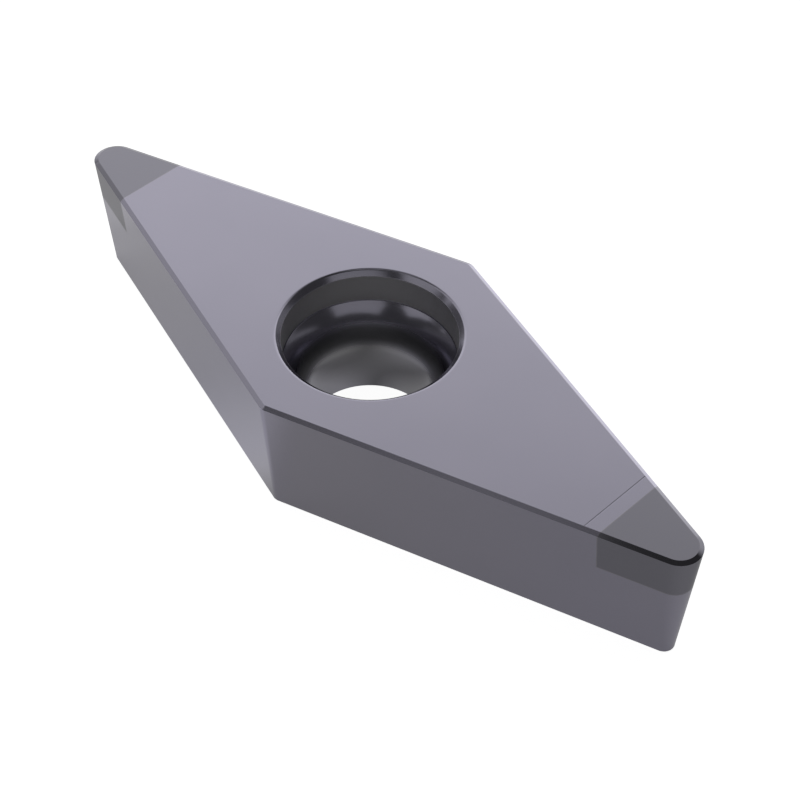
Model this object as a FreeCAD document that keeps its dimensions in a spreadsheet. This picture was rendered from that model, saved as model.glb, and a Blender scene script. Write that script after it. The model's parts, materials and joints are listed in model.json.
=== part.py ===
import FreeCAD, Part
import math
import os
import Sketcher

# Indexable turning insert with two brazed superhard corners, in millimetres.
# The origin is the middle of the screw hole on the seat face, +Z points out of the rake
# face, and +X runs along the long diagonal to one of the two sharp corners.

SIZES = {
    # Plan form, measured at the rake face: a rhombus whose sides touch the inscribed circle.
    "inscribed_circle": 9.525,
    "corner_angle": 35.0,
    "nose_radius": 0.8,
    "obtuse_radius": 0.4,
    # Section: thickness, relief of the flanks, and the land that blunts the cutting edge.
    "thickness": 4.76,
    "relief_angle": 5.0,
    "land_width": 0.16,
    "land_drop": 0.08,
    # Screw hole, from the seat face up: bore, convex seat, counterbore, sloping mouth.
    "bore_diameter": 4.4,
    "bore_edge_break": 0.06,
    "seat_radius": 2.25,
    "seat_depth": 1.29,
    "seat_root_radius": 0.06,
    "counterbore_diameter": 6.0,
    "lip_depth": 0.18,
    "lip_slope": 43.0,
    "lip_radius": 0.14,
    # Superhard segments at the two sharp corners, and the braze film that holds them.
    "tip_length": 2.76,
    "tip_depth": 1.6,
    "braze_gap": 0.03,
    # Fine line across the rake face, behind the segment at the +X corner.
    "line_setback": 0.53,
    "line_width": 0.04,
    "line_depth": 0.008,
}

# Lengths that follow from the sizes, as expressions that read the sheet.
NOSE_CENTRE = "(sizes.inscribed_circle / 2 - sizes.nose_radius) / sin(sizes.corner_angle / 2)"
HALF_LENGTH = f"({NOSE_CENTRE} + sizes.nose_radius)"
HALF_WIDTH = "(sizes.inscribed_circle / 2 / cos(sizes.corner_angle / 2))"
SEAM = f"({HALF_LENGTH} - sizes.tip_length)"
LINE_PLACE = f"({SEAM} - sizes.line_setback)"


def fill_sheet(doc):
    """Puts every driving size into the sheet under its own alias."""
    sheet = doc.addObject("Spreadsheet::Sheet", "sizes")
    for row, (alias, value) in enumerate(SIZES.items(), start=1):
        sheet.set(f"A{row}", alias)
        sheet.set(f"B{row}", str(value))
        sheet.setAlias(f"B{row}", alias)
    doc.recompute()
    return sheet


def sketch_on(body, plane, name):
    """Adds a sketch on one of the body's own origin planes."""
    sketch = body.newObject("Sketcher::SketchObject", name)
    origin_plane = next(item for item in body.Origin.OriginFeatures if item.Role == plane)
    sketch.AttachmentSupport = [(origin_plane, "")]
    sketch.MapMode = "FlatFace"
    return sketch


def tie(sketch, kind, *where):
    """Adds a constraint that has no size."""
    sketch.addConstraint(Sketcher.Constraint(kind, *where))


def size(sketch, name, expression, kind, *where):
    """Adds a constraint whose size follows an expression; where ends with its first value."""
    index = sketch.addConstraint(Sketcher.Constraint(kind, *where))
    sketch.renameConstraint(index, name)
    sketch.setExpression(f"Constraints.{name}", expression)


def feature(body, kind, name, **settings):
    """Adds a feature to the body, sets its properties and computes it."""
    item = body.newObject(kind, name)
    for key, value in settings.items():
        setattr(item, key, value)
    body.Document.recompute()
    return item


def picked(shape_owner, kind, test):
    """Names the faces or edges of a feature that pass a test, such as Face3."""
    elements = getattr(shape_owner.Shape, kind + "s")
    return [f"{kind}{number}" for number, element in enumerate(elements, start=1) if test(element)]


def arc(centre, radius, start_degrees, end_degrees):
    """Anticlockwise arc in the plane of a sketch."""
    circle = Part.Circle(centre, FreeCAD.Vector(0, 0, 1), radius)
    return Part.ArcOfCircle(circle, math.radians(start_degrees), math.radians(end_degrees))


def draw_outline(sketch):
    """Rhombus about the origin: sharp corners rounded on X, obtuse corners still square on Y."""
    half_angle = SIZES["corner_angle"] / 2
    lean = math.radians(half_angle)
    in_radius = SIZES["inscribed_circle"] / 2
    nose = SIZES["nose_radius"]
    nose_centre = (in_radius - nose) / math.sin(lean)
    side_end = FreeCAD.Vector(nose_centre + nose * math.sin(lean), nose * math.cos(lean), 0)
    near = FreeCAD.Vector(0, -in_radius / math.cos(lean), 0)
    far = -near
    sweep = 90 - half_angle

    def turned(x_sign, y_sign):
        return FreeCAD.Vector(x_sign * side_end.x, y_sign * side_end.y, 0)

    sketch.addGeometry([
        Part.LineSegment(near, turned(1, -1)),
        arc(FreeCAD.Vector(nose_centre, 0, 0), nose, -sweep, sweep),
        Part.LineSegment(turned(1, 1), far),
        Part.LineSegment(far, turned(-1, 1)),
        arc(FreeCAD.Vector(-nose_centre, 0, 0), nose, 180 - sweep, 180 + sweep),
        Part.LineSegment(turned(-1, -1), near),
    ], False)
    tie(sketch, "Tangent", 0, 2, 1, 1)
    tie(sketch, "Tangent", 1, 2, 2, 1)
    tie(sketch, "Coincident", 2, 2, 3, 1)
    tie(sketch, "Tangent", 3, 2, 4, 1)
    tie(sketch, "Tangent", 4, 2, 5, 1)
    tie(sketch, "Coincident", 5, 2, 0, 1)
    tie(sketch, "PointOnObject", 0, 1, -2)
    tie(sketch, "Symmetric", 0, 1, 2, 2, -1, 1)
    tie(sketch, "PointOnObject", 1, 3, -1)
    tie(sketch, "PointOnObject", 4, 3, -1)
    tie(sketch, "Equal", 1, 4)
    tie(sketch, "Parallel", 0, 3)
    size(sketch, "nose", "sizes.nose_radius", "Radius", 1, nose)
    size(sketch, "in_radius", "sizes.inscribed_circle / 2", "Distance", -1, 1, 0, in_radius)
    size(sketch, "lean", "sizes.corner_angle / 2", "Angle", 0, lean)


def draw_hole_profile(sketch):
    """Half section of the screw hole: its radius runs along X and its height along Z."""
    top = SIZES["thickness"]
    bore = SIZES["bore_diameter"] / 2
    edge_break = SIZES["bore_edge_break"]
    wall = SIZES["counterbore_diameter"] / 2
    seat = SIZES["seat_radius"]
    seat_top = top - SIZES["seat_depth"]
    seat_sweep = math.acos((seat - (wall - bore)) / seat)
    seat_centre = FreeCAD.Vector(bore + seat, seat_top - seat * math.sin(seat_sweep), 0)
    lip = SIZES["lip_radius"]
    slope = math.radians(SIZES["lip_slope"])
    lip_bottom = top - SIZES["lip_depth"]
    # The slope would meet the rake face here; the rounding reaches this far to both sides.
    meeting = wall + SIZES["lip_depth"] / math.tan(slope)
    reach = lip * math.tan(slope / 2)
    mouth = meeting + reach
    slope_end = (meeting - reach * math.cos(slope), top - reach * math.sin(slope))

    corners = [
        (0, 0), (bore + edge_break, 0), (bore, edge_break), (bore, seat_centre.y),
        (wall, seat_top), (wall, lip_bottom), slope_end, (mouth, top), (0, top),
    ]
    points = [FreeCAD.Vector(x, z, 0) for x, z in corners]
    lip_centre = FreeCAD.Vector(mouth, top - lip, 0)
    sketch.addGeometry([
        Part.LineSegment(points[0], points[1]),
        Part.LineSegment(points[1], points[2]),
        Part.LineSegment(points[2], points[3]),
        arc(seat_centre, seat, 180 - math.degrees(seat_sweep), 180),
        Part.LineSegment(points[4], points[5]),
        Part.LineSegment(points[5], points[6]),
        arc(lip_centre, lip, 90, 90 + SIZES["lip_slope"]),
        Part.LineSegment(points[7], points[8]),
        Part.LineSegment(points[8], points[0]),
    ], False)
    tie(sketch, "Coincident", 0, 1, -1, 1)
    tie(sketch, "Coincident", 0, 2, 1, 1)
    tie(sketch, "Coincident", 1, 2, 2, 1)
    tie(sketch, "Tangent", 2, 2, 3, 2)
    tie(sketch, "Coincident", 3, 1, 4, 1)
    tie(sketch, "Coincident", 4, 2, 5, 1)
    # The rounding runs tangent into the slope below it and into the rake face.
    tie(sketch, "Tangent", 5, 2, 6, 2)
    tie(sketch, "Tangent", 6, 1, 7, 1)
    tie(sketch, "Coincident", 7, 2, 8, 1)
    tie(sketch, "Coincident", 8, 2, 0, 1)
    for level in (0, 7):
        tie(sketch, "Horizontal", level)
    for upright in (2, 4, 8):
        tie(sketch, "Vertical", upright)
    size(sketch, "bore", "sizes.bore_diameter / 2", "DistanceX", -1, 1, 2, 1, bore)
    size(sketch, "break_out", "sizes.bore_edge_break", "DistanceX", 2, 1, 0, 2, edge_break)
    size(sketch, "break_up", "sizes.bore_edge_break", "DistanceY", 0, 2, 2, 1, edge_break)
    size(sketch, "wall", "sizes.counterbore_diameter / 2", "DistanceX", -1, 1, 4, 1, wall)
    size(sketch, "seat_top", "sizes.thickness - sizes.seat_depth", "DistanceY", -1, 1, 4, 1, seat_top)
    size(sketch, "seat", "sizes.seat_radius", "Radius", 3, seat)
    size(sketch, "lip", "sizes.lip_radius", "Radius", 6, lip)
    size(sketch, "lip_slope", "sizes.lip_slope", "Angle", 5, slope)
    size(sketch, "lip_depth", "sizes.lip_depth", "DistanceY", 4, 2, 7, 1, SIZES["lip_depth"])
    size(sketch, "top", "sizes.thickness", "DistanceY", -1, 1, 7, 1, top)


def draw_line_profile(sketch):
    """Small vee that the fine line is cut with, seen along Y."""
    top = SIZES["thickness"]
    lean = math.radians(SIZES["corner_angle"] / 2)
    nose = SIZES["nose_radius"]
    half_length = (SIZES["inscribed_circle"] / 2 - nose) / math.sin(lean) + nose
    place = half_length - SIZES["tip_length"] - SIZES["line_setback"]
    width = SIZES["line_width"]
    depth = SIZES["line_depth"]
    left = FreeCAD.Vector(place - width / 2, top, 0)
    root = FreeCAD.Vector(place, top - depth, 0)
    right = FreeCAD.Vector(place + width / 2, top, 0)
    sketch.addGeometry([
        Part.LineSegment(left, root),
        Part.LineSegment(root, right),
        Part.LineSegment(right, left),
    ], False)
    tie(sketch, "Coincident", 0, 2, 1, 1)
    tie(sketch, "Coincident", 1, 2, 2, 1)
    tie(sketch, "Coincident", 2, 2, 0, 1)
    tie(sketch, "Horizontal", 2)
    tie(sketch, "Equal", 0, 1)
    size(sketch, "width", "sizes.line_width", "DistanceX", 0, 1, 1, 2, width)
    size(sketch, "depth", "sizes.line_depth", "DistanceY", 0, 2, 0, 1, depth)
    size(sketch, "place", LINE_PLACE, "DistanceX", -1, 1, 0, 2, place)
    size(sketch, "top", "sizes.thickness", "DistanceY", -1, 1, 0, 1, top)


def cuts(before, after, name):
    """Stops the build where a feature that should take metal away took none."""
    if not after.Shape.Volume < before.Shape.Volume - 1e-6:
        raise RuntimeError(f"{name} takes nothing away")


def make_ground_blank(doc):
    """The insert as it leaves the grinder: carbide and segments still one form.

    The rhombus is drawn at the rake face and drafted inwards below it, so the flanks lean
    by the relief angle and each nose becomes a cone whose radius shrinks towards the seat.
    The land then follows the whole rim, over both noses, as one unbroken bevel.
    """
    body = doc.addObject("PartDesign::Body", "ground_blank")

    outline = sketch_on(body, "XY_Plane", "outline")
    draw_outline(outline)
    prism = feature(body, "PartDesign::Pad", "prism", Profile=outline)
    prism.setExpression("Length", "sizes.thickness")
    doc.recompute()

    rake = picked(prism, "Face", lambda face: face.CenterOfMass.z > SIZES["thickness"] * 0.99)
    walls = picked(prism, "Face", lambda face: face.BoundBox.ZLength > SIZES["thickness"] / 2)
    relief = feature(body, "PartDesign::Draft", "relief",
                     Base=(prism, walls), NeutralPlane=(prism, rake), Reversed=True)
    relief.setExpression("Angle", "sizes.relief_angle")
    doc.recompute()
    cuts(prism, relief, "relief")

    def is_obtuse_corner(edge):
        middle = edge.CenterOfMass
        return abs(middle.x) < 1e-3 and edge.BoundBox.ZLength > SIZES["thickness"] / 2

    rounding = feature(body, "PartDesign::Fillet", "obtuse_rounding",
                       Base=(relief, picked(relief, "Edge", is_obtuse_corner)))
    rounding.setExpression("Radius", "sizes.obtuse_radius")
    doc.recompute()
    cuts(relief, rounding, "obtuse rounding")

    rim = picked(rounding, "Edge", lambda edge: edge.BoundBox.ZMin > SIZES["thickness"] * 0.99)
    land = feature(body, "PartDesign::Chamfer", "edge_land",
                   Base=(rounding, rim), ChamferType="Two distances", FlipDirection=True)
    land.setExpression("Size", "sizes.land_width")
    land.setExpression("Size2", "sizes.land_drop / cos(sizes.relief_angle)")
    doc.recompute()
    cuts(rounding, land, "edge land")

    profile = sketch_on(body, "XZ_Plane", "hole_profile")
    draw_hole_profile(profile)
    hole = feature(body, "PartDesign::Groove", "screw_hole",
                   Profile=profile, ReferenceAxis=(profile, ["V_Axis"]), Angle=360)
    cuts(land, hole, "screw hole")

    seat_height = SIZES["thickness"] - SIZES["seat_depth"]

    def is_seat_root(edge):
        on_level = abs(edge.BoundBox.ZMin - seat_height) < 1e-3 and edge.BoundBox.ZLength < 1e-3
        return on_level and abs(edge.BoundBox.XLength - SIZES["counterbore_diameter"]) < 1e-2

    root = feature(body, "PartDesign::Fillet", "seat_root",
                   Base=(hole, picked(hole, "Edge", is_seat_root)))
    root.setExpression("Radius", "sizes.seat_root_radius")
    doc.recompute()

    vee = sketch_on(body, "XZ_Plane", "line_profile")
    draw_line_profile(vee)
    fine_line = feature(body, "PartDesign::Pocket", "fine_line",
                        Profile=vee, Type="Length", Midplane=True)
    fine_line.setExpression("Length", f"2 * {HALF_WIDTH}")
    doc.recompute()
    cuts(root, fine_line, "fine line")
    body.Tip = fine_line
    doc.recompute()
    return body


def corner_block(doc, name, side, allowance):
    """Block that reaches from behind one sharp corner past its nose and above the rake face.

    The allowance moves its back wall and its floor away from the segment by the braze gap.
    """
    block = doc.addObject("Part::Box", name)
    reach = "(2 * sizes.tip_length)"
    back = f"({SEAM} - {allowance})"
    corner = back if side > 0 else f"-{back} - {reach}"
    block.setExpression("Length", reach)
    block.setExpression("Width", f"2 * {HALF_WIDTH}")
    block.setExpression("Height", "sizes.thickness")
    block.setExpression("Placement.Base.x", corner)
    block.setExpression("Placement.Base.y", f"-{HALF_WIDTH}")
    block.setExpression("Placement.Base.z", f"sizes.thickness - sizes.tip_depth - {allowance}")
    return block


def combined(doc, kind, label, base, tool):
    """A cut or common of two objects under its own label."""
    item = doc.addObject(kind, label)
    item.Label = label
    item.Base = base
    item.Tool = tool
    doc.recompute()
    return item


def make_pieces(doc):
    """Parts the ground blank into carbide, segments and braze films along shared walls."""
    blank = make_ground_blank(doc)
    pieces = []
    carbide = blank
    for side_name, side, carbide_label in (("right", 1, "carbide_one_pocket"), ("left", -1, "carbide_body")):
        segment = corner_block(doc, f"segment_block_{side_name}", side, "0")
        pocket = corner_block(doc, f"pocket_block_{side_name}", side, "sizes.braze_gap")
        doc.recompute()
        film_zone = combined(doc, "Part::Cut", f"film_zone_{side_name}", pocket, segment)
        pieces.append(combined(doc, "Part::Common", f"cutting_tip_{side_name}", blank, segment))
        pieces.append(combined(doc, "Part::Common", f"braze_film_{side_name}", blank, film_zone))
        carbide = combined(doc, "Part::Cut", carbide_label, carbide, pocket)
    pieces.append(carbide)
    return pieces


def check(doc, pieces):
    """Stops the build on a failed object, or on a piece that is not one sound solid."""
    for item in doc.Objects:
        if "Invalid" in item.State or "Error" in item.State:
            raise RuntimeError(f"{item.Name} failed: {item.State}")
    for item in doc.findObjects("Sketcher::SketchObject"):
        if not item.FullyConstrained:
            raise RuntimeError(f"{item.Name} is not fully constrained")
    for piece in pieces:
        shape = piece.Shape
        if shape.isNull() or not shape.isValid() or len(shape.Solids) != 1:
            raise RuntimeError(f"{piece.Label} is not one valid solid")


def main():
    os.makedirs("parts", exist_ok=True)
    doc = FreeCAD.newDocument("carbide_insert")
    fill_sheet(doc)
    pieces = make_pieces(doc)
    doc.recompute()
    check(doc, pieces)
    for piece in pieces:
        solid = piece.Shape.Solids[0]
        solid.exportStep(f"parts/{piece.Label}.step")
        box = solid.BoundBox
        print(f"{piece.Label}: {solid.Volume:.3f} mm3, "
              f"{box.XLength:.3f} x {box.YLength:.3f} x {box.ZLength:.3f} mm")


main()
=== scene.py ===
# %% [markdown]
# # A ground carbide insert with two superhard corners
#
# The object is a small cutting insert for a lathe: a rhombus of coated tungsten carbide,
# 28 mm long, with a dark superhard segment brazed into each sharp corner. The frame brings
# the exact solids. This lesson works the body and the segments out again as fine grids of
# the same sizes, and then gives them their finish and their light. A ground and coated tool
# has almost no pattern. What the eye reads is how softly it mirrors the room.

# %% Load the frame
import bmesh
import bpy
import json
import math
import numpy as np
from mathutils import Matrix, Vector


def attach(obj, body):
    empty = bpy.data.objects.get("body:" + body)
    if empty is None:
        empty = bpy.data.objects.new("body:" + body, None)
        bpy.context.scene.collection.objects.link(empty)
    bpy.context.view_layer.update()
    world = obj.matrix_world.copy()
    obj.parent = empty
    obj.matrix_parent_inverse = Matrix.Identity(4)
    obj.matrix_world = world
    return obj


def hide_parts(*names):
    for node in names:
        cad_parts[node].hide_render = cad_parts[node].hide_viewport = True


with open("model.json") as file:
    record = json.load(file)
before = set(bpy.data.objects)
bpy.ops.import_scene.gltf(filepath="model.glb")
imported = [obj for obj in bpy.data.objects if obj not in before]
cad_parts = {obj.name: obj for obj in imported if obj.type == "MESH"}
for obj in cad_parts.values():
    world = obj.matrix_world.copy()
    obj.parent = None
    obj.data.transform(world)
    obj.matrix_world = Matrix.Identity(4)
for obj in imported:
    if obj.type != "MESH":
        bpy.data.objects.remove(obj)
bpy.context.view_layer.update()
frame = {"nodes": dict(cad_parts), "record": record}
nodes = frame["nodes"]
print("nodes:", sorted(nodes))

# %% [markdown]
# ## Helpers for shader nodes
#
# A material is a graph of nodes. A few small helpers keep each finish short enough to read.
# The first three start an empty material, add a node with its settings and join two sockets.
# The others take an output socket and hand one back, so a sum of nodes reads like a sum.

# %% Node helpers
def new_material(name):
    """An empty node material; returns the material, its tree and its output node."""
    material = bpy.data.materials.new(name)
    material.use_nodes = True
    tree = material.node_tree
    tree.nodes.clear()
    return material, tree, tree.nodes.new("ShaderNodeOutputMaterial")


def add_node(tree, kind, inputs=None, **settings):
    """Adds a node, sets its properties by name and its input sockets by name or number."""
    node = tree.nodes.new(kind)
    for name, value in settings.items():
        setattr(node, name, value)
    for socket, value in (inputs or {}).items():
        node.inputs[socket].default_value = value
    return node


def join(tree, source, socket, target, place):
    """Joins an output socket to an input socket, each given by name or number."""
    tree.links.new(source.outputs[socket], target.inputs[place])


def calculate(tree, operation, first, second=None):
    """The result of a Math node; first and second are output sockets or plain numbers."""
    node = add_node(tree, "ShaderNodeMath", operation=operation)
    for place, item in enumerate((first, second)):
        if isinstance(item, bpy.types.NodeSocket):
            tree.links.new(item, node.inputs[place])
        elif item is not None:
            node.inputs[place].default_value = item
    return node.outputs[0]


def ramp(tree, source, start, stop, low, high, kind="SMOOTHSTEP"):
    """Low up to the start, high from the stop on, and a soft or a linear step between."""
    node = add_node(tree, "ShaderNodeMapRange", {1: start, 2: stop, 3: low, 4: high},
                    interpolation_type=kind)
    tree.links.new(source, node.inputs["Value"])
    return node.outputs["Result"]


def share_along(tree, vector, direction):
    """How far a vector reaches along a fixed direction: their dot product."""
    node = add_node(tree, "ShaderNodeVectorMath", {1: direction}, operation="DOT_PRODUCT")
    tree.links.new(vector, node.inputs[0])
    return node.outputs["Value"]


def length_of(tree, vector):
    """The length of a vector."""
    node = add_node(tree, "ShaderNodeVectorMath", operation="LENGTH")
    tree.links.new(vector, node.inputs[0])
    return node.outputs["Value"]


ALONG_X, ALONG_Y, ALONG_Z = (1.0, 0.0, 0.0), (0.0, 1.0, 0.0), (0.0, 0.0, 1.0)


# %% [markdown]
# ## Shared effect: the grain that grinding and coating leave
#
# A ground flat is never quite even. The wheel leaves faint scratches in one direction, and
# the vapour coating grows on them in tiny clusters. Both are far finer than a hair, so they
# hardly change the outline of anything. They make the mirror image a little uneven. Several
# finishes need this, so it is a node group: stretched noise for the wheel's scratches, even
# noise for the clusters, and slow noise for the cloudy tone of a coating. It puts out three
# values that vary over the surface, each around nought or a half.

# %% Group: ground grain
GRAIN_SCALES = (("Scratch Scale", 9000.0), ("Cluster Scale", 14000.0), ("Cloud Scale", 260.0))
SCRATCH_SQUEEZE = (0.05, 1.0, 1.0)


def ground_grain_group():
    """Group with three scales as inputs (counts per metre) and three outputs."""
    tree = bpy.data.node_groups.new("ground_grain", "ShaderNodeTree")
    for name, value in GRAIN_SCALES:
        socket = tree.interface.new_socket(name=name, in_out="INPUT",
                                           socket_type="NodeSocketFloat")
        socket.default_value = value
    for name in ("Tone", "Roughness Change", "Height"):
        tree.interface.new_socket(name=name, in_out="OUTPUT", socket_type="NodeSocketFloat")
    inside = tree.nodes.new("NodeGroupInput")
    out = tree.nodes.new("NodeGroupOutput")
    place = add_node(tree, "ShaderNodeTexCoord")

    # Scratches run along X on the rake face and round the flanks: X is squeezed twentyfold.
    squeeze = add_node(tree, "ShaderNodeMapping", {"Scale": SCRATCH_SQUEEZE})
    join(tree, place, "Object", squeeze, "Vector")
    scratch = add_node(tree, "ShaderNodeTexNoise", {"Detail": 2.0, "Roughness": 0.6})
    cluster = add_node(tree, "ShaderNodeTexNoise", {"Detail": 2.0, "Roughness": 0.5})
    cloud = add_node(tree, "ShaderNodeTexNoise", {"Detail": 3.0, "Roughness": 0.5})
    join(tree, squeeze, "Vector", scratch, "Vector")
    join(tree, place, "Object", cluster, "Vector")
    join(tree, place, "Object", cloud, "Vector")
    for (name, value), noise in zip(GRAIN_SCALES, (scratch, cluster, cloud)):
        join(tree, inside, name, noise, "Scale")

    both = calculate(tree, "ADD", scratch.outputs["Fac"], cluster.outputs["Fac"])
    half = calculate(tree, "MULTIPLY", both, 0.5)
    tree.links.new(half, out.inputs["Height"])
    tree.links.new(calculate(tree, "SUBTRACT", half, 0.5), out.inputs["Roughness Change"])
    join(tree, cloud, "Fac", out, "Tone")
    return tree


ground_grain = ground_grain_group()
print("group ground_grain:", len(ground_grain.nodes), "nodes")

# %% [markdown]
# ## Shared effect: the coating and the painted shade inside the screw hole
#
# The throat below the seat is painted darker, as painted shade deep in the hole, and the bore
# has hardly any purple in it. The straight wall of the counterbore is only pressed and
# sintered, and mirrors less than the smoothed mouth and seat. This group gives a mask for
# each, from the place on the object: the distance from the hole's axis and the height. A
# mask on the place needs no seams.

# %% Group: hole coating and painted shade
MM = 0.001
HOLE_REACH = 3.02 * MM
# Each band has a soft edge below and one above, from and to a height in mm.
HOLE_BANDS = (("Wall", (3.47, 3.53), (4.55, 4.60)),
              # The throat band marks painted shade: it darkens the colour deep in the hole.
              ("Painted Throat Shade", (1.85, 2.35), (2.70, 2.98)),
              ("Bore", (0.0, 0.05), (1.9, 2.4)))


def hole_coating_and_shade_group():
    """Group with three outputs that are one on the wall, in the throat and in the bore."""
    tree = bpy.data.node_groups.new("hole_coating_and_shade", "ShaderNodeTree")
    out = tree.nodes.new("NodeGroupOutput")
    place = add_node(tree, "ShaderNodeTexCoord").outputs["Object"]
    x, y, z = (share_along(tree, place, axis) for axis in (ALONG_X, ALONG_Y, ALONG_Z))
    squares = (calculate(tree, "MULTIPLY", x, x), calculate(tree, "MULTIPLY", y, y))
    radius = calculate(tree, "SQRT", calculate(tree, "ADD", *squares))
    within = calculate(tree, "LESS_THAN", radius, HOLE_REACH)
    for name, low, high in HOLE_BANDS:
        tree.interface.new_socket(name=name, in_out="OUTPUT", socket_type="NodeSocketFloat")
        rise = ramp(tree, z, low[0] * MM, low[1] * MM, 0.0, 1.0, "LINEAR")
        fall = ramp(tree, z, high[0] * MM, high[1] * MM, 1.0, 0.0, "LINEAR")
        band = calculate(tree, "MULTIPLY", calculate(tree, "MULTIPLY", rise, fall), within)
        tree.links.new(band, out.inputs[name])
    return tree


hole_coating_and_shade = hole_coating_and_shade_group()
print("group hole_coating_and_shade:", len(hole_coating_and_shade.nodes), "nodes")

# %% [markdown]
# ## The finishes
#
# The coating is a hard ceramic film on metal. It reflects like a metal with a purple-grey
# tint, and only part of the light, so it is fully metallic with a mid base colour. The
# superhard segments are darker and polished finer. Their roughness is half of the coating's,
# and this, more than their colour, is why their lands look black under a dark ceiling.
# The braze is ground flush with both, and a little rougher.

# %% Finishes
def mirror_finish(name, light, dark, roughness, spread, relief, grazing=1.0, in_hole=()):
    """A satin metallic finish whose colour, gloss and height follow the ground grain.

    Grazing below one holds back the shine at a low angle. In_hole lists a mask of the hole
    with the colour and the roughness there; the throat's dark colour is painted shade.
    """
    material, tree, output = new_material(name)
    shader = add_node(tree, "ShaderNodeBsdfPrincipled", {
        "Metallic": 1.0, "Roughness": roughness, "Specular Tint": (grazing,) * 3 + (1.0,)})
    grain = add_node(tree, "ShaderNodeGroup", node_tree=ground_grain)
    colour = add_node(tree, "ShaderNodeMix", data_type="RGBA")
    colour.inputs["A"].default_value = (*dark, 1.0)
    colour.inputs["B"].default_value = (*light, 1.0)
    join(tree, grain, "Tone", colour, "Factor")
    vary = add_node(tree, "ShaderNodeMath", {1: spread, 2: roughness}, operation="MULTIPLY_ADD")
    join(tree, grain, "Roughness Change", vary, 0)
    tint, gloss = colour.outputs["Result"], vary.outputs[0]
    for mask, hole_colour, hole_roughness in in_hole:
        hole = add_node(tree, "ShaderNodeGroup", node_tree=hole_coating_and_shade)
        other = add_node(tree, "ShaderNodeMix", data_type="RGBA")
        other.inputs["B"].default_value = (*hole_colour, 1.0)
        join(tree, hole, mask, other, "Factor")
        tree.links.new(tint, other.inputs["A"])
        rougher = add_node(tree, "ShaderNodeMix", {"B": hole_roughness}, data_type="FLOAT")
        join(tree, hole, mask, rougher, "Factor")
        tree.links.new(gloss, rougher.inputs["A"])
        tint, gloss = other.outputs["Result"], rougher.outputs["Result"]
    tree.links.new(tint, shader.inputs["Base Color"])
    tree.links.new(gloss, shader.inputs["Roughness"])
    bump = add_node(tree, "ShaderNodeBump", {"Strength": 1.0, "Distance": relief})
    join(tree, grain, "Height", bump, "Height")
    join(tree, bump, "Normal", shader, "Normal")
    join(tree, shader, "BSDF", output, "Surface")
    return material


coated = mirror_finish(
    "coated_carbide", light=(0.375, 0.36, 0.435), dark=(0.345, 0.335, 0.405),
    roughness=0.18, spread=0.08, relief=1e-8,
    # In the hole: a paler, rougher wall, a less purple bore, and a dark throat that is painted
    # shade.
    in_hole=(("Wall", (0.49, 0.485, 0.51), 0.6), ("Bore", (0.35, 0.347, 0.375), 0.2),
             ("Painted Throat Shade", (0.20, 0.20, 0.21), 0.4)))
superhard = mirror_finish(
    "superhard_tip", light=(0.25, 0.245, 0.28), dark=(0.23, 0.225, 0.26),
    roughness=0.08, spread=0.04, relief=5e-9, grazing=0.75)
braze = mirror_finish(
    "braze", light=(0.34, 0.33, 0.37), dark=(0.28, 0.27, 0.30),
    roughness=0.25, spread=0.10, relief=2e-8)
finishes = {"coated_carbide": coated, "superhard_tip": superhard, "braze": braze}
for part in frame["record"]["subparts"]:
    nodes[part["node"]].data.materials.clear()
    nodes[part["node"]].data.materials.append(finishes[part["material_slot"]])
print("finishes:", sorted(finishes))

# %% [markdown]
# ## The carbide body as one grid
#
# On the real insert the hole is pressed, and every flank is ground. The frame already holds
# this solid, but its triangles are coarse for a surface this glossy: a mirror shows each
# facet of the mouth's rounded edge. Bevel or subdivision modifiers would soften the ground
# edges. So the body is worked out again as a grid that closes on itself twice, like a ring.
# One parameter goes round the screw hole. The other goes up the hole, out over the rake
# face, down the flank and back under. The sizes are the solid's, so nothing moves.

# %% Sizes in millimetres
INSCRIBED_RADIUS = 9.525 / 2
HALF_CORNER = math.radians(35 / 2)
NOSE_RADIUS = 0.8
OBTUSE_RADIUS = 0.4
THICKNESS = 4.76
RELIEF = math.tan(math.radians(5))
LAND_WIDTH = 0.16
LAND_DROP = 0.08
BORE_RADIUS = 2.2
EDGE_BREAK = 0.06
SEAT_RADIUS = 2.25
SEAT_DEPTH = 1.29
SEAT_ROOT = 0.06
WALL_RADIUS = 3.0
LIP_DEPTH = 0.18
LIP_SLOPE = math.radians(43)
LIP_RADIUS = 0.14
TIP_LENGTH = 2.76
TIP_DEPTH = 1.6
BRAZE_GAP = 0.03
LINE_SETBACK = 0.53
LINE_WIDTH = 0.04
LINE_DEPTH = 0.008

NOSE_CENTRE = (INSCRIBED_RADIUS - NOSE_RADIUS) / math.sin(HALF_CORNER)
SEAM = NOSE_CENTRE + NOSE_RADIUS - TIP_LENGTH
LINE_PLACE = SEAM - LINE_SETBACK
TIP_FLOOR = THICKNESS - TIP_DEPTH
print("seam at x =", round(SEAM, 3), "mm, fine line at x =", round(LINE_PLACE, 3), "mm")

# %% [markdown]
# ### The rhombic outline
#
# The outline is written once for a quarter of the rhombus and mirrored to the other three.
# An inset moves it inwards: the relief angle insets it more with every step down the flank,
# and the land insets it on the rake face. Columns crowd together beside each place where a
# straight side runs into an arc, so smooth shading stays on the arc and off the flat.

# %% Outline function
OBTUSE_COLUMNS = 8
SIDE_COLUMNS = 46
NOSE_COLUMNS = 28
FIRST_STEP = 0.004
CROWDING = 0.8
BEYOND_SEAM = (0.25, 0.5, 0.75, 0.93, 0.985)


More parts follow.
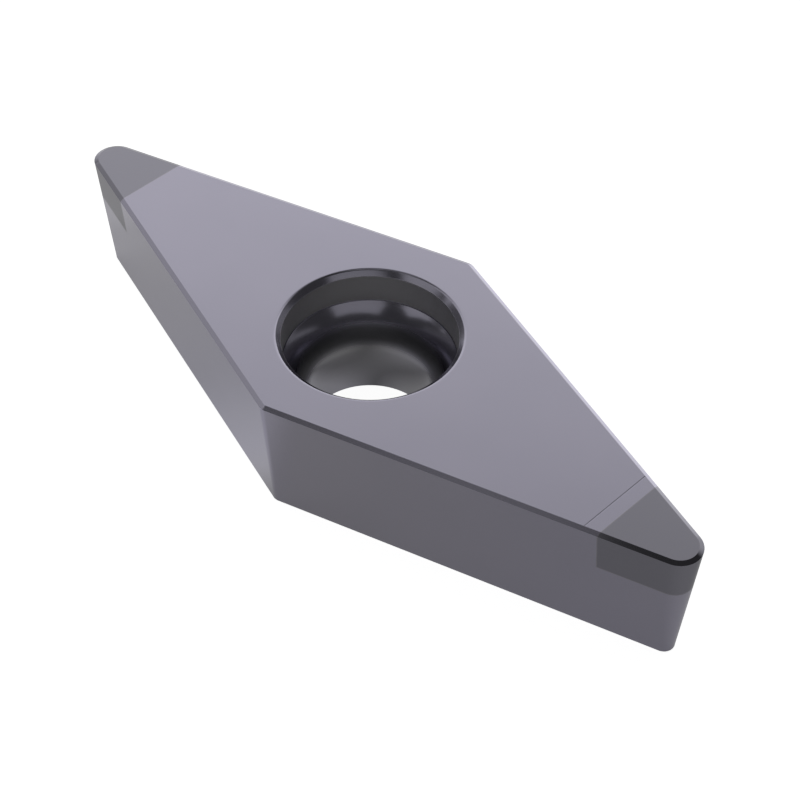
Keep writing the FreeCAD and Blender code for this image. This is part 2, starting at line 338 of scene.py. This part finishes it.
def quarter(inset, obtuse_radius, corner):
    """A quarter of the outline, from the obtuse apex at x = 0 to the nose apex at y = 0.

    Obtuse arc: (0, yc) + r (cos a, sin a), its angle a falling from 90 to 72.5 degrees.
    Side: y = (R - x sin h) / cos h, where R is the inscribed radius less the inset and h
    is half the corner angle. Nose arc: (xc, 0) + r (cos a, sin a), a from 72.5 to 0.
    The column at x = corner is where the carbide ends and the segment begins.
    """
    reach = INSCRIBED_RADIUS - inset
    normal_angle = math.pi / 2 - HALF_CORNER
    turn = np.linspace(math.pi / 2, normal_angle, OBTUSE_COLUMNS)
    middle = (reach - obtuse_radius) / math.cos(HALF_CORNER)
    obtuse = np.stack([obtuse_radius * np.cos(turn), middle + obtuse_radius * np.sin(turn)], 1)

    start = obtuse[-1, 0]
    shares = np.linspace(0.0, 1.0, SIDE_COLUMNS) ** CROWDING
    shares[0] = FIRST_STEP
    line_edges = LINE_PLACE + LINE_WIDTH * np.array([-0.5, 0.0, 0.5])
    special = np.append(line_edges, corner)
    spread = start + (special[0] - 0.1 - start) * shares
    nose = NOSE_RADIUS - inset
    end = NOSE_CENTRE + nose * math.sin(HALF_CORNER)
    beyond = corner + (end - corner) * np.array(BEYOND_SEAM)
    along = np.concatenate([spread, special, beyond])
    side = np.stack([along, (reach - along * math.sin(HALF_CORNER)) / math.cos(HALF_CORNER)], 1)

    turn = np.linspace(normal_angle, 0.0, NOSE_COLUMNS)
    tip = np.stack([NOSE_CENTRE + nose * np.cos(turn), nose * np.sin(turn)], 1)
    corner_column = len(obtuse) + len(spread) + len(special) - 1
    return np.concatenate([obtuse, side, tip]), corner_column


def full_round(points):
    """Mirrors a quarter to the closed outline, anticlockwise from the near obtuse apex."""
    right_near = points * [1, -1]
    right_far = points[::-1][1:]
    left_far = points[1:] * [-1, 1]
    left_near = points[::-1][1:-1] * [-1, -1]
    return np.concatenate([right_near, right_far, left_far, left_near])


def level(height, corner):
    """Outline of the ground flank at a height: the inset is depth times tan of the relief."""
    points, _ = quarter((THICKNESS - height) * RELIEF, OBTUSE_RADIUS, corner)
    return full_round(points)


def rake(corner):
    """Inner edge of the land on the rake face: the outline inset by the land's width."""
    points, _ = quarter(LAND_WIDTH, OBTUSE_RADIUS - LAND_WIDTH, corner)
    return full_round(points)


def beyond_corner(corner):
    """True for the columns that lie past the corner, on the segments."""
    points, column = quarter(0.0, OBTUSE_RADIUS, corner)
    flags = np.zeros((len(points), 2), bool)
    flags[column + 1:] = True
    return full_round(flags * 1.0)[:, 0] != 0


print("columns round the insert:", len(rake(SEAM)))

# %% [markdown]
# ### The profile of the screw hole
#
# Turned about the hole's axis, the profile has five parts, from the seat face up: a broken
# edge, the straight bore, the convex seat that takes the screw's head, the counterbore with
# a small radius at its root, and the sloping mouth, whose upper edge is rounded a little.
# An extra ring lies close beside each sharp edge, so smooth shading stays near that edge.

# %% Hole profile
RING_GAP = 0.02
SLOPE_GAP = 0.004


def sweep(radius, height, size, first, last, count):
    """Points of an arc: (radius, height) + size (cos a, sin a), with a from first to last."""
    a = np.linspace(first, last, count)
    return np.stack([radius + size * np.cos(a), height + size * np.sin(a)], 1)


def hole_profile():
    """Radius and height of the hole, from the seat face to its mouth."""
    seat_top = THICKNESS - SEAT_DEPTH
    seat_sweep = math.acos((SEAT_RADIUS - (WALL_RADIUS - BORE_RADIUS)) / SEAT_RADIUS)
    seat_radius = BORE_RADIUS + SEAT_RADIUS
    seat_height = seat_top - SEAT_RADIUS * math.sin(seat_sweep)
    root_radius = WALL_RADIUS - SEAT_ROOT
    across = seat_radius - root_radius
    root_height = seat_height + math.sqrt((SEAT_RADIUS + SEAT_ROOT) ** 2 - across ** 2)
    lean = math.atan2(root_height - seat_height, across)
    reach = LIP_RADIUS * math.tan(LIP_SLOPE / 2)
    mouth = WALL_RADIUS + LIP_DEPTH / math.tan(LIP_SLOPE) + reach
    lip_height = THICKNESS - LIP_DEPTH
    slope_foot = (WALL_RADIUS + SLOPE_GAP, lip_height + SLOPE_GAP * math.tan(LIP_SLOPE))
    parts = [
        [(BORE_RADIUS + EDGE_BREAK, 0.0), (BORE_RADIUS, EDGE_BREAK), (BORE_RADIUS, 0.1)],
        [(BORE_RADIUS, 0.9), (BORE_RADIUS, seat_height - RING_GAP)],
        sweep(seat_radius, seat_height, SEAT_RADIUS, math.pi, math.pi - lean, 20),
        sweep(root_radius, root_height, SEAT_ROOT, -lean, 0.0, 7)[1:],
        [(WALL_RADIUS, root_height + RING_GAP), (WALL_RADIUS, 4.0),
         (WALL_RADIUS, lip_height - RING_GAP), (WALL_RADIUS, lip_height), slope_foot],
        sweep(mouth, THICKNESS - LIP_RADIUS, LIP_RADIUS,
              math.pi / 2 + LIP_SLOPE, math.pi / 2, 12),
    ]
    return np.concatenate([np.array(part, float) for part in parts])


profile = hole_profile()
print("hole profile:", len(profile), "rings, mouth radius", round(profile[-1, 0], 3), "mm")


# %% [markdown]
# ### The rows of the body's grid
#
# Every row has the same columns, one for each point of the outline. In the hole a row is a
# circle, with its points in the same directions as those of the outline. On the rake face
# three rows carry the fine scribed line, and on the flank each row is the outline at its own
# height. Past the seam, above the pocket's floor, the columns fold onto the pocket's back
# wall, and below that floor they spread out again to the nose.

# %% Rows of the grid
UPPER_ROWS = (4.2, 3.7)
LOWER_ROWS = (2.4, 1.2, 0.0)
TINY = 1e-9


def row(flat, height):
    """A row of the grid: the outline's columns at one height or at a height for each."""
    return np.column_stack([flat, np.broadcast_to(height, len(flat))])


def walled(flat, past, corner, share):
    """The outline cut off at the pocket's back wall: past columns move to x = +-corner."""
    half_width = np.abs(flat[np.isclose(np.abs(flat[:, 0]), corner), 1]).min()
    wall = np.column_stack([np.sign(flat[:, 0]) * corner, share * half_width])
    return np.where(past[:, None], wall, flat)


def body_rows():
    """All rows of the carbide body, from the seat face up the hole, out, down and back."""
    corner = SEAM - BRAZE_GAP
    past = beyond_corner(corner)
    edge = rake(corner)
    steep = edge[:, 1] / np.maximum(np.abs(edge[:, 0]), TINY)
    share = steep / np.abs(steep[np.isclose(np.abs(edge[:, 0]), corner)]).min()
    top = walled(edge, past, corner, share)
    azimuth = np.arctan2(top[:, 1], top[:, 0])
    circle = np.stack([np.cos(azimuth), np.sin(azimuth)], 1)
    rows = [row(radius * circle, height) for radius, height in profile]
    rows.append(row((profile[-1, 0] + RING_GAP) * circle, THICKNESS))
    # The fine line: three rows cut off at its two edges and its root, along rays.
    for place, depth in ((-LINE_WIDTH / 2, 0), (0, LINE_DEPTH), (LINE_WIDTH / 2, 0)):
        stop = LINE_PLACE + place
        inside = top[:, 0] > stop + 1e-6
        scale = np.where(inside, stop / np.maximum(top[:, 0], TINY), 1.0)
        rows.append(row(top * scale[:, None], THICKNESS - depth * inside))
    rows.append(row(top, THICKNESS))
    floor = TIP_FLOOR - BRAZE_GAP
    for height in (THICKNESS - LAND_DROP, *UPPER_ROWS, floor):
        rows.append(row(walled(level(height, corner), past, corner, share), height))
    for height in (floor, *LOWER_ROWS):
        rows.append(row(level(height, corner), height))
    return np.array(rows)


body_grid = body_rows()
print("body grid:", body_grid.shape[0], "rows of", body_grid.shape[1], "columns")

# %% [markdown]
# ### From the grid to a closed mesh
#
# A ground tool has crisp edges and dead flat faces. Four neighbours of the grid make one
# face. Where rows or columns meet in a point, their doubles are merged. Faces that meet at
# more than 20 degrees keep a sharp edge between them, and arcs are shaded smooth.

# %% Grid to mesh
MERGE_DISTANCE = 2e-7
SHARP_ANGLE = math.radians(20)
CUBIC_MM = 1e9


def mesh_from_rows(name, rows, material, around):
    """Joins a grid of rows to a closed surface; both ways round it closes on itself.

    The face of row i and column j has the corners (i, j), (i+1, j), (i+1, j+1), (i, j+1).
    """
    count, columns = rows.shape[:2]
    number = np.arange(count * columns).reshape(count, columns)
    if around:
        number = np.column_stack([number, number[:, 0]])
    number = np.vstack([number, number[:1]])
    a, b = number[:-1, :-1].ravel(), number[1:, :-1].ravel()
    c, d = number[1:, 1:].ravel(), number[:-1, 1:].ravel()
    faces = np.stack([a, b, c, d], 1)
    mesh = bpy.data.meshes.new(name)
    mesh.vertices.add(count * columns)
    mesh.vertices.foreach_set("co", (rows.reshape(-1, 3) * MM).ravel())
    mesh.loops.add(faces.size)
    mesh.loops.foreach_set("vertex_index", faces.ravel().astype(np.int32))
    mesh.polygons.add(len(faces))
    mesh.polygons.foreach_set("loop_start", np.arange(0, faces.size, 4, dtype=np.int32))
    mesh.update(calc_edges=True)
    shell = bmesh.new()
    shell.from_mesh(mesh)
    bmesh.ops.remove_doubles(shell, verts=shell.verts, dist=MERGE_DISTANCE)
    bmesh.ops.dissolve_degenerate(shell, edges=shell.edges, dist=MERGE_DISTANCE)
    open_edges = sum(1 for edge in shell.edges if not edge.is_manifold)
    volume = shell.calc_volume(signed=True) * CUBIC_MM
    shell.to_mesh(mesh)
    shell.free()
    mesh.shade_smooth()
    mesh.set_sharp_from_angle(angle=SHARP_ANGLE)
    mesh.materials.append(material)
    piece = bpy.data.objects.new(name, mesh)
    bpy.context.scene.collection.objects.link(piece)
    print(f"{name}: {len(mesh.polygons)} faces, {open_edges} open edges, {volume:.3f} mm3")
    return piece


ground_body = mesh_from_rows("ground_carbide_body", body_grid, coated, True)
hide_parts("carbide_body")
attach(ground_body, "root")

# %% [markdown]
# ### The two superhard segments
#
# Each segment is a small flat piece, sintered, cut out by wire, brazed into its pocket and
# then ground together with the body. So the land and the flanks run over it without a step,
# and it uses the same outline. Only the columns past the seam are kept. Its rows go out
# along its floor, up the flank, in over the rake face and down its straight back.

# %% Segments
def tip_rows(side):
    """Rows of one segment; the end columns fall on the seam, where they close the shape."""
    past = beyond_corner(SEAM)
    keep = np.flatnonzero(past & (rake(SEAM)[:, 0] > 0))
    keep = np.concatenate([[keep[0] - 1], keep, [keep[-1] + 1]])
    edge = rake(SEAM)[keep]
    share = edge[:, 1] / edge[:, 0]
    share = share / np.abs(share[0])
    heights = [TIP_FLOOR, *UPPER_ROWS[::-1], THICKNESS - LAND_DROP]
    rows = [row(level(height, SEAM)[keep], height) for height in heights]
    rows.append(row(edge, THICKNESS))

    def back(flat, height):
        return row(np.column_stack([np.full(len(flat), SEAM), share * abs(flat[0, 1])]), height)

    rows.append(back(edge, THICKNESS))
    rows += [back(level(height, SEAM)[keep], height) for height in heights[::-1]]
    rows = np.array(rows)
    return rows[::-1] if side > 0 else (rows * [-1, 1, 1])


for side, where in ((1, "right"), (-1, "left")):
    segment = mesh_from_rows("ground_tip_" + where, tip_rows(side), superhard, False)
    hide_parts("cutting_tip_" + where)
    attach(segment, "root")

# %% [markdown]
# ## The floor
#
# The part lies on a plain white sheet. To the camera the sheet glows so far that, together
# with the lamps, it comes out white, and a faint soft shadow stays in it. The flanks mirror
# the same sheet, and what they see of its glow is painted shade and painted light. Close to
# the part the glow is painted shade, deeper and a little warmer on the right than on the left,
# with a painted pale patch near the blunt corner. Further out it is white, so the lands on the
# far side come out bright. Under the hole a painted dark stripe runs along the line of sight,
# and the bore mirrors that. The brightness of the glow is worked out from the place on the
# sheet. All places and distances here are in mm.

# %% The sheet's painted light and shade for mirror rays
# Painted shade and painted light: the glow that mirror rays see on the sheet.
GLOW_LEFT = 0.42
GLOW_STEPS = ((-16.0, -14.5, -0.08), (-7.0, -1.9, 0.13), (-1.8, 0.2, -0.21))
UNDER_SPAN = (-1.8, 0.4)
GLOW_UNDER = (0.40, 0.32)
STRIPE_MIDDLE = 0.15
STRIPE_SPAN = (0.0, 0.95)
GLOW_STRIPE = (0.37, 1.0)
BESIDE_SPAN = (2.3, 4.0)
FAR_SPAN = (18.0, 46.0)
GLOW_FAR = 1.1
ACROSS_SIGHT = (0.707, 0.707, 0.0)


def span(start, stop):
    """Two places in mm as metres."""
    return start * MM, stop * MM


def sheet_painted_light_and_shade(tree, place):
    """Brightness of the sheet by place.

    Beside the part this painted shade starts at its left value and changes by each step along
    X. Under the hole it falls towards the painted dark stripe along the line of sight. Each mix
    of two values a and b by a share s is a (1 - s) + b s.
    """
    reach = length_of(tree, place)
    x = share_along(tree, place, ALONG_X)
    side = GLOW_LEFT
    for start, stop, change in GLOW_STEPS:
        side = calculate(tree, "ADD", side, ramp(tree, x, *span(start, stop), 0.0, change))
    across = share_along(tree, place, ACROSS_SIGHT)
    aside = calculate(tree, "ABSOLUTE", calculate(tree, "SUBTRACT", across, STRIPE_MIDDLE * MM))
    stripe = ramp(tree, aside, *span(*STRIPE_SPAN), *GLOW_STRIPE, "LINEAR")
    below = ramp(tree, x, *span(*UNDER_SPAN), *GLOW_UNDER)
    below = calculate(tree, "MULTIPLY", stripe, below)
    beside = ramp(tree, reach, *span(*BESIDE_SPAN), 0.0, 1.0)
    under = calculate(tree, "MULTIPLY", below, calculate(tree, "SUBTRACT", 1.0, beside))
    near = calculate(tree, "ADD", under, calculate(tree, "MULTIPLY", side, beside))
    far = ramp(tree, reach, *span(*FAR_SPAN), 0.0, 1.0)
    shaded = calculate(tree, "MULTIPLY", near, calculate(tree, "SUBTRACT", 1.0, far))
    return calculate(tree, "ADD", shaded, calculate(tree, "MULTIPLY", far, GLOW_FAR))


print("glow beside the part:", GLOW_LEFT, "at the left end,", GLOW_FAR, "far out")

# %% [markdown]
# ### The colour of the glow
#
# The glow for mirror rays has a painted tint, standing in for the hint of colour that white
# paper takes from what stands near it. Here it is plain at the left end, cool along the left
# flank, warm at the blunt corner and white from there on. Three ramps along X add up to the
# place on a colour ramp.

# %% The sheet's tint
TINT_STEPS = ((-12.0, -5.0, 0.3), (-2.5, 0.5, 0.3), (2.0, 11.0, 0.4))
TINT_STOPS = ((0.0, (1.0, 0.995, 0.995, 1.0)), (0.3, (0.98, 0.975, 1.04, 1.0)),
              (0.6, (1.0, 1.0, 0.94, 1.0)), (1.0, (1.0, 1.0, 1.0, 1.0)))


def sheet_tint(tree, place):
    """Colour of the glow along X."""
    x = share_along(tree, place, ALONG_X)
    along = 0.0
    for start, stop, change in TINT_STEPS:
        step = ramp(tree, x, *span(start, stop), 0.0, change, "LINEAR")
        along = calculate(tree, "ADD", along, step)
    tint = add_node(tree, "ShaderNodeValToRGB")
    stops = tint.color_ramp.elements
    stops[0].color, stops[1].color = TINT_STOPS[0][1], TINT_STOPS[-1][1]
    for position, colour in TINT_STOPS[1:-1]:
        stops.new(position).color = colour
    tree.links.new(along, tint.inputs["Fac"])
    return tint.outputs["Color"]


print("tint of the glow:", len(TINT_STOPS), "stops")

# %% [markdown]
# ### The sheet itself
#
# The sheet is a large flat square a hair below the part, so the two faces don't fight. It is
# a matt surface that takes the object's shadow, plus the glow. For the camera the glow is
# white and even, and for mirror rays it has the painted shade, painted light and tint worked
# out above.

# %% Floor
FLOOR_REACH = 1.0
FLOOR_DEPTH = 0.02 * MM
FLOOR_ALBEDO = 0.5
GLOW_CAMERA = 0.93
WHITE = (1.0, 1.0, 1.0, 1.0)


def sheet_material():
    """A matt white surface with a glow that depends on which ray meets it."""
    material, tree, output = new_material("pale_sheet")
    sheet = add_node(tree, "ShaderNodeBsdfDiffuse", {"Color": (FLOOR_ALBEDO,) * 3 + (1.0,)})
    glow = add_node(tree, "ShaderNodeEmission")
    path = add_node(tree, "ShaderNodeLightPath").outputs
    place = add_node(tree, "ShaderNodeTexCoord").outputs["Object"]
    mirrors = calculate(tree, "ADD", path["Is Glossy Ray"], path["Is Transmission Ray"])
    seen = calculate(tree, "MULTIPLY", mirrors, sheet_painted_light_and_shade(tree, place))
    plain = calculate(tree, "MULTIPLY", path["Is Camera Ray"], GLOW_CAMERA)
    tree.links.new(calculate(tree, "ADD", plain, seen), glow.inputs["Strength"])
    tint = add_node(tree, "ShaderNodeMix", data_type="RGBA")
    tint.inputs["B"].default_value = WHITE
    tree.links.new(path["Is Camera Ray"], tint.inputs["Factor"])
    tree.links.new(sheet_tint(tree, place), tint.inputs["A"])
    tree.links.new(tint.outputs["Result"], glow.inputs["Color"])
    total = add_node(tree, "ShaderNodeAddShader")
    join(tree, sheet, "BSDF", total, 0)
    join(tree, glow, "Emission", total, 1)
    join(tree, total, "Shader", output, "Surface")
    return material


def make_floor():
    """A flat square under the part."""
    corners = [(x * FLOOR_REACH, y * FLOOR_REACH, -FLOOR_DEPTH)
               for x, y in ((-1, -1), (1, -1), (1, 1), (-1, 1))]
    mesh = bpy.data.meshes.new("studio_floor")
    mesh.from_pydata(corners, [], [(0, 1, 2, 3)])
    mesh.materials.append(sheet_material())
    floor = bpy.data.objects.new("studio_floor", mesh)
    bpy.context.scene.collection.objects.link(floor)
    return floor


floor = make_floor()
print("floor:", 2 * FLOOR_REACH, "m square")

# %% [markdown]
# ## The camera
#
# The photograph looks down at 44.5 degrees onto the near side of the insert, from about
# 72 mm away. The lens and the small shift reproduce its frame, so every edge of the render
# falls on the same edge of the photograph.

# %% Camera
CAMERA_PLACE = Vector((35.21, -35.20, 51.98)) * MM
LOOK_AZIMUTH = math.radians(44.93)
LOOK_ELEVATION = math.radians(44.49)
SENSOR_WIDTH = 36.0
LENS = 92.3
SHIFT = (0.035, -0.039)

look = Vector((-math.sin(LOOK_AZIMUTH) * math.cos(LOOK_ELEVATION),
               math.cos(LOOK_AZIMUTH) * math.cos(LOOK_ELEVATION), -math.sin(LOOK_ELEVATION)))
camera = bpy.data.objects.new("photo_camera", bpy.data.cameras.new("photo_camera"))
camera.location = CAMERA_PLACE
camera.rotation_mode = "QUATERNION"
camera.rotation_quaternion = look.to_track_quat("-Z", "Y")
camera.data.sensor_width = SENSOR_WIDTH
camera.data.lens = LENS
camera.data.shift_x, camera.data.shift_y = SHIFT
camera.data.clip_start = 1 * MM
bpy.context.scene.collection.objects.link(camera)
bpy.context.scene.camera = camera
print("camera", round(CAMERA_PLACE.length / MM, 1), "mm from the origin")

# %% [markdown]
# ## The light
#
# A polished tool is lit by what it mirrors, so each lamp is placed for the face that shows
# it. Low down behind the insert, a softbox draws the line along the far lands and the near
# rim of the hole. A softbox on the left lights the near land there. Two dim panels above the
# camera, with a gap between them, show up as the two patches in the screw hole.

# %% Softboxes
LAMP_DISTANCE = 0.4


def softbox(name, azimuth, elevation, width, height, brightness):
    """A rectangular lamp that faces the part.

    The azimuth counts from +X towards +Y. Width and height are given as degrees seen from
    the part. The brightness is what a perfect mirror shows of the lamp: power over area and
    pi.
    """
    a, e = math.radians(azimuth), math.radians(elevation)
    towards = Vector((math.cos(a) * math.cos(e), math.sin(a) * math.cos(e), math.sin(e)))
    lamp = bpy.data.lights.new(name, "AREA")
    lamp.shape = "RECTANGLE"
    lamp.size = 2 * LAMP_DISTANCE * math.tan(math.radians(width / 2))
    lamp.size_y = 2 * LAMP_DISTANCE * math.tan(math.radians(height / 2))
    lamp.energy = brightness * math.pi * lamp.size * lamp.size_y
    holder = bpy.data.objects.new(name, lamp)
    holder.location = towards * LAMP_DISTANCE
    holder.rotation_mode = "QUATERNION"
    holder.rotation_quaternion = (-towards).to_track_quat("-Z", "Y")
    bpy.context.scene.collection.objects.link(holder)
    print(f"{name}: {1000 * lamp.size:.0f} x {1000 * lamp.size_y:.0f} mm, {brightness}")


softbox("foot_softbox", azimuth=116, elevation=6, width=30, height=11, brightness=0.35)
softbox("left_softbox", azimuth=196, elevation=42, width=34, height=28, brightness=0.49)
softbox("panel_left", azimuth=243, elevation=47, width=34, height=24, brightness=0.38)
softbox("panel_right", azimuth=332, elevation=47, width=50, height=24, brightness=0.30)

# %% [markdown]
# ### The backdrop
#
# A broad pale backdrop stands behind the insert, where the rake face looks, and makes that
# face the brightest. It dims towards its head and its sides, which gives the rake face its
# gentle fall from left to right. Its lower corners are cut off, so the ends of the hole's
# mouth stay dark. All directions are unit vectors from the part. The share of a direction
# along Z is the sine of its elevation, so heights here are numbers from 0 to 1.

# %% Backdrop
BACKDROP_FOOT = 1.24
BACKDROP_TOP = 1.05
BACKDROP_HEAD = 0.12
BACKDROP_FALL = (0.56, 0.95)
BACKDROP_GLINT = (0.05, 0.25)
BACKDROP_MIDDLE = (-0.565, 0.807, 0.174)
BACKDROP_WIDTH = (math.cos(math.radians(69)), math.cos(math.radians(38)))
BACKDROP_CUTS = (((0.689, 0.113, -0.716), -0.09), ((-0.113, -0.689, -0.716), -0.05))
CUT_SOFTNESS = 0.08


def backdrop_light(tree, ray):
    """Brightness of the backdrop by direction.

    It falls from its foot to its head, is capped above the glint at the horizon, and fades
    out with the angle from its middle, whose cosine is the share along the middle. Each cut
    is a plane through the part.
    """
    height = share_along(tree, ray, ALONG_Z)
    middle = share_along(tree, ray, BACKDROP_MIDDLE)
    width = ramp(tree, middle, *BACKDROP_WIDTH, 0.0, 1.0)
    fall = ramp(tree, height, *BACKDROP_FALL, BACKDROP_FOOT, BACKDROP_HEAD, "LINEAR")
    glint = ramp(tree, height, *BACKDROP_GLINT, BACKDROP_FOOT, 0.0)
    capped = calculate(tree, "MINIMUM", fall, BACKDROP_TOP)
    light = calculate(tree, "MULTIPLY", calculate(tree, "MAXIMUM", capped, glint), width)
    for cut, start in BACKDROP_CUTS:
        kept = ramp(tree, share_along(tree, ray, cut), start, start + CUT_SOFTNESS, 1.0, 0.0)
        light = calculate(tree, "MULTIPLY", light, kept)
    return light


print("backdrop:", BACKDROP_FOOT, "at its foot,", BACKDROP_HEAD, "at its head")

# %% [markdown]
# ### The ceiling
#
# Overhead the room is dark up to a slanting panel. The near land of the right segment shows
# the dark part and is almost black, and the land beside it shows the panel. Straight
# overhead a round patch lights the rake face for a view from the top.

# %% Ceiling panel
ABOVE = (0.11, 0.36)
PANEL_SLANT = 0.46
PANEL_RISE = (-0.50, -0.28)
# Each edge: the measure it counts along, and where it fades in or out.
PANEL_EDGES = (("across", (-1.1, -0.7), (0.0, 1.0)), ("across", (-0.285, -0.265), (1.0, 0.0)),
               ("along", (-0.8, -0.6), (0.0, 1.0)), ("along", (0.1, 0.4), (1.0, 0.0)))
LOWEST = 0.2
OVERHEAD_EDGE = (0.972, 0.986)
CEILING = 0.35


def ceiling_light(tree, ray):
    """Brightness of the ceiling by direction.

    X and Y of a direction divided by its Z give the place where it meets a flat ceiling.
    Along is that Y. Across is X + slant Y, which makes the right edge slant.
    """
    height = share_along(tree, ray, ALONG_Z)
    lifted = calculate(tree, "MAXIMUM", height, LOWEST)
    x = calculate(tree, "DIVIDE", share_along(tree, ray, ALONG_X), lifted)
    y = calculate(tree, "DIVIDE", share_along(tree, ray, ALONG_Y), lifted)
    measures = {"along": y}
    measures["across"] = calculate(tree, "ADD", x, calculate(tree, "MULTIPLY", y, PANEL_SLANT))
    panel = ramp(tree, measures["across"], *PANEL_RISE, *ABOVE, "LINEAR")
    for measure, fade, levels in PANEL_EDGES:
        edge = ramp(tree, measures[measure], *fade, *levels)
        panel = calculate(tree, "MULTIPLY", panel, edge)
    overhead = ramp(tree, height, *OVERHEAD_EDGE, 0.0, CEILING)
    return calculate(tree, "MAXIMUM", panel, overhead)


print("ceiling panel:", ABOVE[0], "to", ABOVE[1], "and", CEILING, "straight overhead")

# %% [markdown]
# ### The walls
#
# The rest of the room is dim. A low band runs round the walls, a little paler on the
# camera's side, so the rake face isn't black in a view from behind. At the two sides it
# stands higher and lights the ends of the seat in the screw hole.

# %% Low band
SKIRTING = (0.22, 0.12)
BAND_FOOT = (0.08, 0.14)
LOW_TOP = (0.26, 0.33)
HIGH_TOP = (0.38, 0.48)
BACK_SPAN = (-0.8, -0.3)
TO_CAMERA = (0.707, -0.707, 0.0)
CAMERA_SPAN = (0.2, 0.45)
TO_RIGHT = (0.5, 0.866, 0.0)
RIGHT_SPAN = (0.76, 0.92)
SIDES = (0.12, 0.235)


def skirting_light(tree, ray):
    """Brightness of the low band: the brighter of its low part and its higher sides."""
    height = share_along(tree, ray, ALONG_Z)
    foot = ramp(tree, height, *BAND_FOOT, 0.0, 1.0)
    low = calculate(tree, "MULTIPLY", foot, ramp(tree, height, *LOW_TOP, 1.0, 0.0))
    high = calculate(tree, "MULTIPLY", foot, ramp(tree, height, *HIGH_TOP, 1.0, 0.0))
    level = ramp(tree, share_along(tree, ray, BACKDROP_MIDDLE), *BACK_SPAN, *SKIRTING)
    aside = ramp(tree, share_along(tree, ray, TO_CAMERA), *CAMERA_SPAN, 1.0, 0.0)
    side = ramp(tree, share_along(tree, ray, TO_RIGHT), *RIGHT_SPAN, *SIDES)
    high = calculate(tree, "MULTIPLY", high, calculate(tree, "MULTIPLY", aside, side))
    return calculate(tree, "MAXIMUM", calculate(tree, "MULTIPLY", low, level), high)


print("low band:", SKIRTING[0], "on the camera's side,", SKIRTING[1], "elsewhere")

# %% [markdown]
# ### The world
#
# In each direction the brightest of walls, band, backdrop and ceiling shows. The camera
# itself sees white, which makes the plain background of the photograph.

# %% Studio world
ROOM = 0.06


def studio_world():
    """The room as a world: one brightness for each direction."""
    world = bpy.data.worlds.new("studio_walls")
    world.use_nodes = True
    tree = world.node_tree
    tree.nodes.clear()
    output = tree.nodes.new("ShaderNodeOutputWorld")
    back = add_node(tree, "ShaderNodeBackground", {"Color": WHITE})
    ray = add_node(tree, "ShaderNodeTexCoord").outputs["Generated"]
    light = calculate(tree, "MAXIMUM", skirting_light(tree, ray), ROOM)
    light = calculate(tree, "MAXIMUM", light, backdrop_light(tree, ray))
    light = calculate(tree, "MAXIMUM", light, ceiling_light(tree, ray))
    path = add_node(tree, "ShaderNodeLightPath")
    light = calculate(tree, "MAXIMUM", light, path.outputs["Is Camera Ray"])
    tree.links.new(light, back.inputs["Strength"])
    join(tree, back, "Background", output, "Surface")
    bpy.context.scene.world = world
    return world


world = studio_world()
bpy.context.scene.view_settings.view_transform = "Standard"
print("world:", len(world.node_tree.nodes), "nodes")
